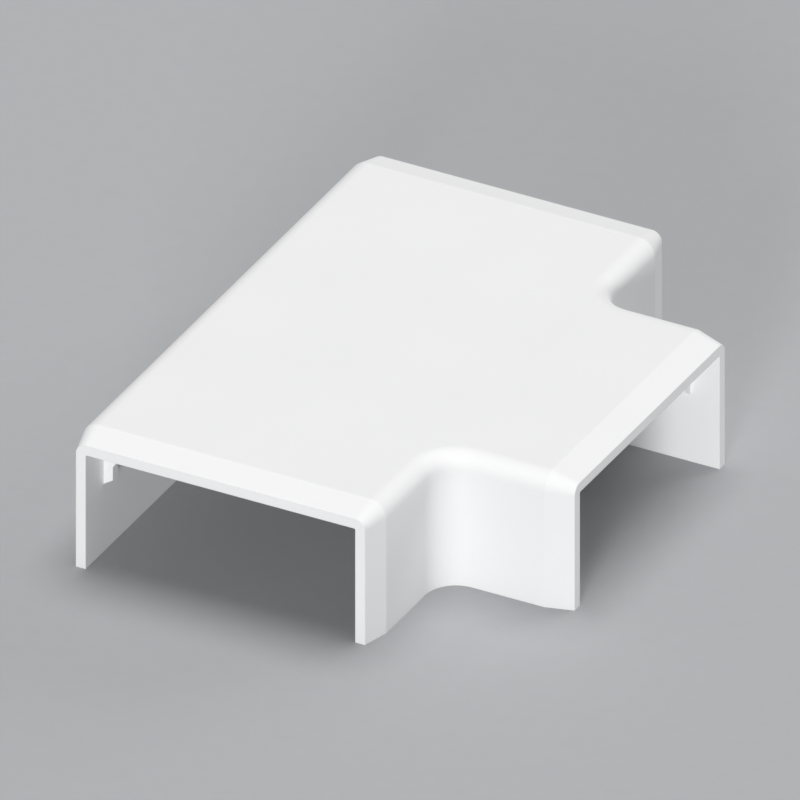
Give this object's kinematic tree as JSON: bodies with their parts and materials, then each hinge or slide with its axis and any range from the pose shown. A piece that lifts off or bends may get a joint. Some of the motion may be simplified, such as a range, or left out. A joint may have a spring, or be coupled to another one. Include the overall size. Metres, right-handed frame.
{
  "type": "trunking tee fitting",
  "caption": "Tee-shaped cover for mini trunking: a straight run and a side branch, open underneath, with tapered lips at the mouths and stop ribs inside.",
  "frame": {"origin": "on the wall, under the crossing of the two trunking centre lines", "axes": "+Z away from the wall, the run along Y, the branch leaves towards +X"},
  "size_m": [0.0661, 0.0858, 0.0205],
  "materials": {
    "moulded_pvc": "smooth satin white moulding"
  },
  "bodies": {
    "root": {"tee_cover": "moulded_pvc"}
  },
  "joints": []
}
